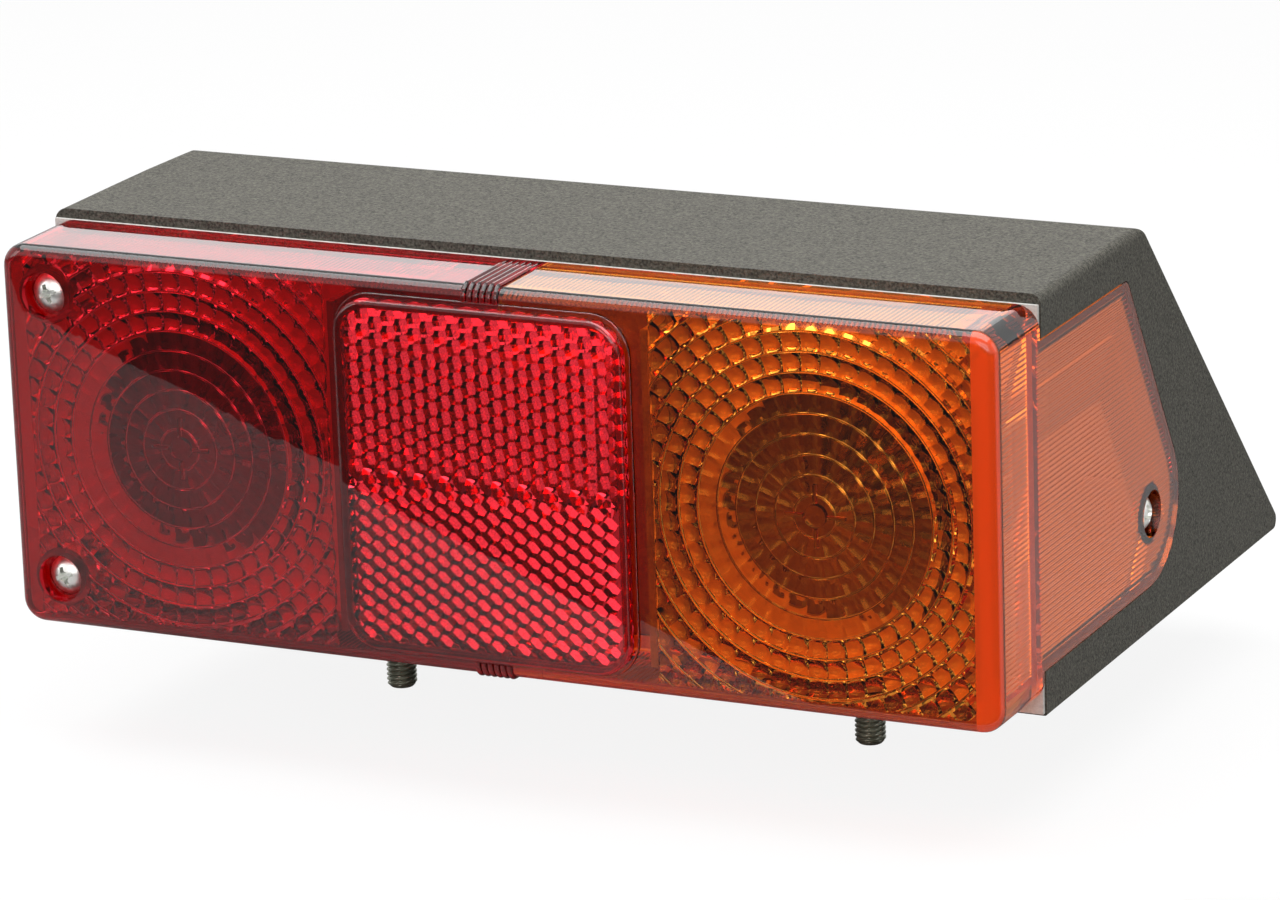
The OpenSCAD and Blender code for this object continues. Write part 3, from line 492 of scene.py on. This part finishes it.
def cell_height(k, u, w):
    """Height of the optic in ring k, at u from its inner to its outer edge and w across a cell. The
    inner rings have radial strips, the outer ones pillows, and each starts with a thin bead."""
    bead = BEAD_H * math.sin(math.pi * u / BEAD) if u < BEAD else 0
    v = max(0, (u - BEAD) / (1 - BEAD))
    across, along = 1 - (2 * w - 1) ** 2, 1 - (2 * v - 1) ** 2
    if k <= STRIP_RINGS:
        return 0.05 + 0.4 * (1 - u) + 0.42 * across * (v > 0) + bead
    return 0.05 + 0.1 * (1 - u) + (0.75 * across + 0.7 * along) * (v > 0) + bead


def ring_optic(name, cx):
    """Solid disc whose inner face carries rings of small lenses; it sinks into the lens's front wall."""
    root = INNER_FRONT - 0.1
    verts = [(cx, INNER_FRONT + 0.3, MID_Z)]
    faces = []
    before = None
    columns = 6
    for k in range(1, RING_COUNT + 1):
        cells = 6 * (k + 1)
        rows = 4 if k <= STRIP_RINGS else 6
        n = cells * columns
        loops = []
        steps = [0, BEAD / 4, BEAD / 2, BEAD * 3 / 4]
        steps += [BEAD + (1 - BEAD) * i / rows for i in range(rows + 1)]
        for u in steps:
            r = RING_PITCH * (k + u)
            loop = []
            for j in range(n):
                # the cells of each ring start half a cell on from those of the ring inside it
                a = 2 * math.pi * j / n
                w = ((j + (k % 2) * columns / 2) % columns) / columns
                h = cell_height(k, u, w)
                loop.append((a, len(verts)))
                verts.append((cx + r * math.cos(a), INNER_FRONT + h, MID_Z + r * math.sin(a)))
            loops.append(loop)
        if before is None:
            inner = [(a, len(verts) + i) for i, (a, _) in enumerate(loops[0])]
            verts += [(verts[v][0], INNER_FRONT + 0.3, verts[v][2]) for _, v in loops[0]]
            faces += [(0, inner[i][1], inner[(i + 1) % n][1]) for i in range(n)]
            before = inner
        faces += zipper(before, loops[0])
        for i in range(len(loops) - 1):
            for j in range(n):
                q = (j + 1) % n
                faces.append((loops[i][j][1], loops[i][q][1], loops[i + 1][q][1], loops[i + 1][j][1]))
        before = loops[-1]
    base = [(a, len(verts) + i) for i, (a, _) in enumerate(before)]
    verts += [(verts[v][0], root, verts[v][2]) for _, v in before]
    n = len(base)
    faces += [(before[i][1], before[(i + 1) % n][1], base[(i + 1) % n][1], base[i][1]) for i in range(n)]
    verts.append((cx, root, MID_Z))
    faces += [(base[i][1], base[(i + 1) % n][1], len(verts) - 1) for i in range(n)]
    return solid(name, verts, faces)


def flutes(a0, a1, b, side, tip=FLUTE_TIP):
    """Outline of a row of prisms with flat tips that stand on a wall at b, from a0 to a1 along it, up
    or down as side says. Their faces slope at 45 degrees, so that they send light back."""
    count = int((a1 - a0) / FLUTE_PITCH)
    start = (a0 + a1 - count * FLUTE_PITCH) / 2
    h = side * (FLUTE_PITCH - tip) / 2
    out = []
    for i in range(count):
        valley, crest = start + i * FLUTE_PITCH, start + (i + 0.5) * FLUTE_PITCH
        out += [(valley, b), (crest - tip / 2, b + h), (crest + tip / 2, b + h)]
    return out + [(start + count * FLUTE_PITCH, b)]


def fluted_cavity(x0, x1):
    """Room inside the lens between two places on X, with flutes on its upper and lower walls and on
    the wall at the amber end."""
    z0, z1 = LENS_Z0 + LENS_WALL, LENS_Z1 - LENS_WALL
    left = CORNER_R if x0 < -PARTITION_X else 0
    right = CORNER_R if x1 > PARTITION_X else 0
    low = flutes(x0 + left, x1 - right, z0, 1)
    high = list(reversed(flutes(x0 + left, x1 - right, z1, -1)))
    r = CORNER_R - LENS_WALL
    outline = list(low)
    if right:
        outline += corner((x0, z0), (x1, z0), (x1, z1), r, 6)
        outline += [(x, z) for z, x in flutes(z0 + r + 1, z1 - r - 1, x1, -1)]
        outline += corner((x1, z0), (x1, z1), (x0, z1), r, 6)
    else:
        outline += [(x1, z0), (x1, z1)]
    outline += high
    if left:
        outline += corner((x1, z1), (x0, z1), (x0, z0), r, 6)
        outline += corner((x0, z1), (x0, z0), (x1, z0), r, 6)
    else:
        outline += [(x0, z1), (x0, z0)]
    fluted = along_y("cavity", outline, INNER_FRONT, LENS_BACK - FLUTE_STOP)
    mouth = round_rect(x0, x1, z0, z1, 0.3)
    plain = along_y("cavity", mouth, LENS_BACK - FLUTE_STOP - 0.01, LENS_BACK + 1)
    return combine(fluted, ("UNION", plain))


def rib(x):
    """The two parts of a bead that runs over the lens at the seam, above and below the reflector."""
    parts = []
    r = EDGE_R
    for z, s in ((LENS_Z1, 1), (LENS_Z0, -1)):
        run = [(LENS_BACK - 0.6 - i * 3.0, z) for i in range(9)]
        run = [(y, zz) for y, zz in run if y > LENS_FRONT + r + 0.5]
        for i in range(9):
            a = math.pi / 2 * i / 8
            run.append((LENS_FRONT + r - r * math.sin(a), z - s * r + s * r * math.cos(a)))
        run += [(LENS_FRONT, z - s * (r + d)) for d in (0.5, 1.0, 1.4)]
        count = len(run)
        radii = [RIB_R * min(1, 0.25 + (count - 1 - i) * 0.4, 0.3 + i * 0.35) for i in range(count)]
        parts.append(tube("rib", [(x, y, zz) for y, zz in run], radii))
    return parts


def centre_mark(cx):
    """Moulding mark on the inside of the front wall: a disc and four spokes round it."""
    root = INNER_FRONT - 0.2
    parts = [rod_y("mark", cx, MID_Z, MARK_R, root, INNER_FRONT + MARK_H)]

    def reach(middle, way):
        if way:
            return sorted((middle + way * SPOKE_FROM, middle + way * SPOKE_TO))
        return middle - SPOKE_HALF, middle + SPOKE_HALF

    for dx, dz in ((1, 0), (-1, 0), (0, 1), (0, -1)):
        parts.append(block("mark", *reach(cx, dx), root, INNER_FRONT + SPOKE_H, *reach(MID_Z, dz)))
    return parts


def side_plate():
    """The plate that runs back from the amber lens, the comb of flutes on its inside and the cup round
    its screw."""
    inner = HALF_W - LENS_WALL
    plate = along_x("plate", plate_outline(0, LENS_BACK - 0.3), inner, HALF_W)
    row = flutes(PLATE_Z0 + PLATE_BORDER, PLATE_Z1 - PLATE_BORDER, inner, -1, PLATE_TIP)
    row += [(row[-1][0], inner + 0.3), (row[0][0], inner + 0.3)]
    comb = combine(
        along_y("comb", [(x, z) for z, x in row], LENS_BACK - FLUTE_STOP - 2, PLATE_BASE_Y),
        ("INTERSECT", along_x("trim", plate_outline(-PLATE_BORDER, -80), 100, 140)),
    )
    cup = rod_x("cup", SIDE_SCREW_Y, SIDE_SCREW_Z, CUP_R, SIDE_SEAT - 2, HALF_W)
    return [("UNION", plate), ("UNION", comb), ("UNION", cup)]


def lens(name, x0, x1, cx):
    """Half of the moulded lens between two places on X, with the optic of the lamp at cx."""
    red = cx < 0
    body = rounded_box(name, -HALF_W, HALF_W, LENS_Z0, LENS_Z1, CORNER_R, LENS_FRONT, LENS_BACK, EDGE_R)
    pad = rounded_box("pad", -PAD_W, PAD_W, MID_Z - PAD_H, MID_Z + PAD_H, REFLECTOR_R + 1.2,
                      LENS_FRONT - PAD_T, LENS_FRONT + 1, 0.5, 4)
    body = combine(body, ("UNION", pad), ("INTERSECT", block("half", x0, x1, -100, 0, -50, 150)))
    inside = fluted_cavity(max(x0, -HALF_W + LENS_WALL), min(x1, HALF_W - THICK_WALL))
    steps = [("DIFFERENCE", inside)]
    if red:
        for z in SCREW_ZS:
            cup = rod_y("tube", SCREW_X, z, CUP_R, LENS_FRONT + EDGE_R / 2, LENS_BACK)
            steps.append(("UNION", cup))
        for i in range(RIB_COUNT):
            steps += [("UNION", part) for part in rib((i - (RIB_COUNT - 1) / 2) * RIB_PITCH)]
    optic = combine(
        ring_optic("optic", cx),
        ("INTERSECT", block("room", cx - PARTITION_X + 0.2, cx + PARTITION_X - 0.2, -80, -60,
                            LENS_Z0 + LENS_WALL - 0.1, LENS_Z1 - LENS_WALL + 0.1)),
    )
    steps.append(("UNION", optic))
    steps += [("UNION", part) for part in centre_mark(cx)]
    if red:
        for z in SCREW_ZS:
            well = rod_y("well", SCREW_X, z, WELL_R, LENS_FRONT - 1, SCREW_SEAT)
            hole = rod_y("hole", SCREW_X, z, SCREW_HOLE_R, SCREW_SEAT - 1, LENS_BACK + 1)
            steps += [("DIFFERENCE", well), ("DIFFERENCE", hole)]
    else:
        steps += side_plate()
        well = rod_x("well", SIDE_SCREW_Y, SIDE_SCREW_Z, WELL_R, SIDE_SEAT, HALF_W + 1)
        hole = rod_x("hole", SIDE_SCREW_Y, SIDE_SCREW_Z, SCREW_HOLE_R, SIDE_SEAT - 3, HALF_W)
        steps += [("DIFFERENCE", well), ("DIFFERENCE", hole)]
    pocket = along_y("pocket", reflector_outline(1.6), LENS_FRONT - PAD_T - 1, LENS_FRONT + 0.35)
    steps.append(("DIFFERENCE", pocket))
    return combine(body, *steps)


red_half = lens("lens_red_shell", -HALF_W - 1, SEAM_X - SEAM_GAP, -LAMP_X)
finished(red_half, M["red"], ["red_lens"])
amber_half = lens("lens_amber_shell", SEAM_X, HALF_W + 1, LAMP_X)
finished(amber_half, M["amber"], ["amber_lens"])


# Frames of the bowls

def hood(x0, x1, cx):
    """Bright sheet frame round one bowl of the carrier, close behind the ring optic."""
    z0, z1 = LENS_Z0 + HOOD_INSET, LENS_Z1 - HOOD_INSET
    body = along_y("hood", round_rect(x0, x1, z0, z1, 3), HOOD_FRONT, LENS_BACK + 1.0)
    room = round_rect(x0 + HOOD_T, x1 - HOOD_T, z0 + HOOD_T, z1 - HOOD_T, 2)
    steps = [
        ("DIFFERENCE", along_y("room", room, HOOD_FRONT + HOOD_T, 0)),
        ("DIFFERENCE", rod_y("mouth", cx, MID_Z, HOOD_MOUTH_R, HOOD_FRONT - 1, 0)),
    ]
    steps += [("DIFFERENCE", rod_y("room", SCREW_X, z, CUP_R + 0.5, -80, 0)) for z in SCREW_ZS]
    return combine(body, *steps)


hoods = [hood(x0, x1, cx) for (x0, x1), cx in zip(HOOD_SPANS, (-LAMP_X, LAMP_X))]
finished(joined(hoods), M["zinc"], [])


# Reflector

def prism_air():
    """The air behind the reflector's prisms: its front is a lattice of corner-cube faces."""
    s = CELL_R
    step_z = s * math.sqrt(3) / 2
    rows = int((REFLECTOR_H + 6) / step_z) + 1
    cols = int((REFLECTOR_W + 6) / s) + 1
    shallow = LENS_FRONT - PAD_T - REFLECTOR_T + 0.5
    rise = s * math.sqrt(0.5)
    verts, index = [], {}
    for j in range(-rows, rows + 1):
        for c in range(-cols, cols + 1):
            i = c - math.floor(j / 2)
            kind = (i - j) % 3 if j >= 0 else (j - i) % 3
            index[j, c] = len(verts)
            verts.append(((i + j / 2) * s, shallow + kind * rise, MID_Z + j * step_z))
    faces = []
    for j in range(-rows, rows):
        for c in range(-cols, cols):
            a, b = index[j, c], index[j, c + 1]
            d, e = index[j + 1, c], index[j + 1, c + 1]
            if j % 2 == 0:
                faces += [(a, b, d), (b, e, d)]
            else:
                faces += [(a, e, d), (a, b, e)]
    rim = [index[-rows, c] for c in range(-cols, cols)]
    rim += [index[j, cols] for j in range(-rows, rows)]
    rim += [index[rows, c] for c in range(cols, -cols, -1)]
    rim += [index[j, -cols] for j in range(rows, -rows, -1)]
    back = [len(verts) + i for i in range(len(rim))]
    verts += [(verts[v][0], -70.0, verts[v][2]) for v in rim]
    n = len(rim)
    faces += [(rim[i], rim[(i + 1) % n], back[(i + 1) % n], back[i]) for i in range(n)]
    faces.append(tuple(back))
    return solid("air", verts, faces)


def reflector():
    """Red plate with a smooth front and corner-cube prisms inside its back, within a plain rim."""
    y0 = LENS_FRONT - PAD_T - REFLECTOR_T
    y1 = LENS_FRONT - PAD_T - 0.03
    plate = rounded_box("reflector_plate", -REFLECTOR_W, REFLECTOR_W, MID_Z - REFLECTOR_H,
                        MID_Z + REFLECTOR_H, REFLECTOR_R, y0, y1, 1.2, 6)
    within_rim = reflector_outline(REFLECTOR_RIM)
    air = combine(prism_air(), ("INTERSECT", along_y("inset", within_rim, y0 - 1, -60)))
    foot = along_y("inset", within_rim, y1 - 0.5, LENS_FRONT + 0.25)
    return combine(plate, ("UNION", foot), ("DIFFERENCE", air))


finished(reflector(), M["reflector"], ["reflex_reflector"], 12)


# Fasteners

def screw(name, place, length):
    """Pan-head screw with a cross recess; place turns (x, y, distance above the seat) into a point."""
    profile = [(0, -length), (1.2, -length), (2.0, -length + 1.0)]
    t = -length + 1.4
    while t < -1.2:
        profile += [(2.45, t), (2.05, t + 0.4)]
        t += 0.8
    profile += [(2.3, -0.6), (2.3, 0.0), (HEAD_R - 0.05, 0.0), (HEAD_R, 0.25), (HEAD_R, 0.9)]
    for i in range(1, 11):
        r = 4.98 * (1 - i / 10.5)
        profile.append((r, HEAD_H - DOME_R + math.sqrt(DOME_R * DOME_R - r * r)))
    profile.append((0, HEAD_H))
    head = turned(name, profile, place)
    steps = []
    for turn in (RECESS_TURN, RECESS_TURN + math.pi / 2):
        c, s = math.cos(turn), math.sin(turn)

        def spot(u, v, t, c=c, s=s):
            return place(u * c - v * s, u * s + v * c, t)

        ends = []
        for u, v, t in ((1.3, 0.3, 0.9), (2.9, 0.62, 3.6)):
            ends.append([spot(-u, -v, t), spot(u, -v, t), spot(u, v, t), spot(-u, v, t)])
        steps.append(("DIFFERENCE", loft("slot", ends)))
    steps.append(("DIFFERENCE", turned("pit", [(0, 0.7), (0.7, 0.9), (1.5, 3.6), (0, 3.6)], place, 16)))
    return combine(head, *steps)


def side_place(x, y, t):
    return SIDE_SEAT + t, SIDE_SCREW_Y + x, SIDE_SCREW_Z + y


screws = []
for z in SCREW_ZS:
    screws.append(screw("lens_screw", lambda x, y, t: (SCREW_X + x, SCREW_SEAT - t, z + y), SCREW_LEN))
screws.append(screw("lens_screw", side_place, SIDE_SCREW_LEN))
finished(joined(screws), M["zinc"], ["lens_screws"], 30)


def stud(name, x):
    """Stud with a rolled thread under the housing, a plain shank through its floor and a hex head."""
    n = 40
    rows = int(STUD_LEN / (THREAD_PITCH / 8))
    rings = []
    for k in range(rows + 1):
        z = -STUD_LEN + k * STUD_LEN / rows
        ring = []
        for i in range(n):
            a = 2 * math.pi * i / n
            phase = (z / THREAD_PITCH - i / n) % 1
            tooth = abs(2 * phase - 1)
            r = STUD_R - THREAD_DEPTH * min(1, 1.25 * (1 - tooth))
            r = min(r, STUD_R - 1.0 + (z + STUD_LEN))
            if z > -0.6:
                r = STUD_R - THREAD_DEPTH
            ring.append((x + r * math.cos(a), r * math.sin(a), z))
        rings.append(ring)
    for z in (0.05, STUD_HEAD_Z + 0.5):
        rings.append([(px, py, z) for px, py in circle(x, 0, STUD_R, n)])
    shank = loft(name, rings)
    low, high = STUD_HEAD_Z, STUD_HEAD_Z + STUD_HEAD_H
    hexagon = circle(x, 0, HEX_AF / math.sqrt(3), 6)
    head = loft("head", [[(px, py, z) for px, py in hexagon] for z in (low, high)])
    chamfer = [(0, low - 1), (9, low - 1), (9, high - 1.4), (5.8, high), (0, high)]
    dome = turned("dome", chamfer, lambda u, v, t: (x + u, v, t))
    return combine(shank, ("UNION", combine(head, ("INTERSECT", dome))))


studs = joined([stud("studs", -STUD_X), stud("studs", STUD_X)])
finished(studs, M["stud"], ["mount_studs"], 30)


# Studio

def area_light(name, place, aim, size, power):
    data = bpy.data.lights.new(name, "AREA")
    data.shape = "RECTANGLE"
    data.size, data.size_y = size
    data.energy = power
    obj = bpy.data.objects.new(name, data)
    obj.location = place
    obj.rotation_euler = (Vector(aim) - Vector(place)).to_track_quat("-Z", "Y").to_euler()
    obj.visible_camera = False
    bpy.context.scene.collection.objects.link(obj)


# Name, place and aim in metres, width and height in metres, and power in watts
area_light("top", (0.0, -0.12, 0.95), (0, -0.12, 0), (1.5, 0.9), 17)
area_light("front", (0.45, -1.5, 0.66), (0, 0, 0.05), (1.4, 0.8), 8)
area_light("left", (-1.2, -1.0, 0.6), (0, 0, 0.05), (0.5, 0.9), 3)
area_light("back", (-0.83, 1.73, 0.72), (0, 0, 0.1), (1.9, 0.7), 4.2)
area_light("right", (1.3, 0.1, 0.6), (0, 0, 0.05), (0.6, 0.8), 2)


# Light of the world, where 1 is white: on matte surfaces, and in the room that gloss shows
DIFFUSE_LIGHT = 0.4
DARK_ROOM, BRIGHT_ROOM = 0.12, 1.0


def studio_world():
    """White for the camera. Gloss and clear plastic see a room that is bright behind the object and
    above the horizon, and dark below it in front. Matte surfaces get an even, weaker light."""
    world = bpy.data.worlds.new("studio")
    bpy.context.scene.world = world
    world.use_nodes = True
    tree = world.node_tree
    tree.nodes.clear()
    add = tree.nodes.new

    def put(socket, value):
        if isinstance(value, bpy.types.NodeSocket):
            tree.links.new(value, socket)
        else:
            socket.default_value = value

    def maths(operation, *values):
        node = add("ShaderNodeMath")
        node.operation = operation
        for socket, value in zip(node.inputs, values):
            put(socket, value)
        return node.outputs[0]

    def ramp(value, low, high, to_high):
        node = add("ShaderNodeMapRange")
        node.interpolation_type = "SMOOTHSTEP"
        put(node.inputs["Value"], value)
        for key, v in (("From Min", low), ("From Max", high), ("To Min", 0.0), ("To Max", to_high)):
            node.inputs[key].default_value = v
        return node.outputs[0]

    def background(strength):
        node = add("ShaderNodeBackground")
        node.inputs["Color"].default_value = (1, 1, 1, 1)
        put(node.inputs["Strength"], strength)
        return node.outputs[0]

    def mixed(*values):
        node = add("ShaderNodeMixShader")
        for socket, value in zip(node.inputs, values):
            put(socket, value)
        return node.outputs[0]

    way = add("ShaderNodeSeparateXYZ")
    put(way.inputs[0], add("ShaderNodeTexCoord").outputs["Generated"])
    behind = ramp(way.outputs["Y"], -0.4, -0.05, 1.0)
    above = ramp(way.outputs["Z"], -0.05, 0.15, 0.95)
    bright = maths("MAXIMUM", behind, above)
    room = maths("MULTIPLY_ADD", bright, BRIGHT_ROOM - DARK_ROOM, DARK_ROOM)
    path = add("ShaderNodeLightPath")
    mirrored = maths("MAXIMUM", path.outputs["Is Glossy Ray"], path.outputs["Is Transmission Ray"])
    shader = mixed(mirrored, background(DIFFUSE_LIGHT), background(room))
    shader = mixed(path.outputs["Is Camera Ray"], shader, background(1.0))
    put(add("ShaderNodeOutputWorld").inputs["Surface"], shader)


studio_world()

# Grey of the floor for light and reflections, its two whites for the camera, and how much of its
# camera colour is plain white, the rest being lit and shaded
FLOOR_GREY, FLOOR_WHITES, FLOOR_GLOW = 0.38, (0.82, 0.85), 0.88

# Floor in metres: its front edge is slanted, and the lens's face mirrors it
FLOOR_Z = -STUD_LEN * MM
FLOOR_HALF, FLOOR_BACK = 8.0, 12.0
EDGE_Y, EDGE_SLANT = -0.201, 0.689


def studio_floor():
    """Pale paper floor that keeps the object's shadow."""
    n = Nodes("floor_paper")
    seen = n.add("ShaderNodeLightPath").outputs["Is Camera Ray"]
    grey, white, whiter = [rgba((v, v, v)) for v in (FLOOR_GREY, *FLOOR_WHITES)]
    paper = n.mix(seen, grey, n.mix(n.noise(3.0), white, whiter))
    lit = n.add("ShaderNodeBsdfDiffuse", Color=paper).outputs[0]
    glow = n.add("ShaderNodeEmission", Color=rgba((1, 1, 1)), Strength=1.0).outputs[0]
    mesh = bpy.data.meshes.new("floor")
    mesh.from_pydata([
        (-FLOOR_HALF, EDGE_Y - EDGE_SLANT * FLOOR_HALF, FLOOR_Z),
        (FLOOR_HALF, EDGE_Y + EDGE_SLANT * FLOOR_HALF, FLOOR_Z),
        (FLOOR_HALF, FLOOR_BACK, FLOOR_Z),
        (-FLOOR_HALF, FLOOR_BACK, FLOOR_Z),
    ], [], [(0, 1, 2, 3)])
    mesh.materials.append(n.output(n.blend(n.times(FLOOR_GLOW, seen), lit, glow)))
    floor = bpy.data.objects.new("floor", mesh)
    bpy.context.scene.collection.objects.link(floor)


studio_floor()

bpy.context.scene.view_settings.view_transform = "Standard"

# Camera solved from the photograph: where it stands, in metres, and its three axes
EYE = (0.66824, -1.37303, 0.48966)
RIGHT = (0.903990, 0.426324, -0.032407)
DOWN = (0.092524, -0.269064, -0.958668)
AHEAD = (-0.417422, 0.863628, -0.282676)
FOCAL_MM, SENSOR_MM = 177.89, 36

camera = bpy.data.objects.new("camera", bpy.data.cameras.new("camera"))
camera.data.sensor_fit = "HORIZONTAL"
camera.data.sensor_width = SENSOR_MM
camera.data.lens = FOCAL_MM
camera.data.clip_end = 50
rows = [(r, -d, -a, e) for r, d, a, e in zip(RIGHT, DOWN, AHEAD, EYE)]
camera.matrix_world = Matrix((*rows, (0, 0, 0, 1)))
bpy.context.scene.collection.objects.link(camera)
bpy.context.scene.camera = camera
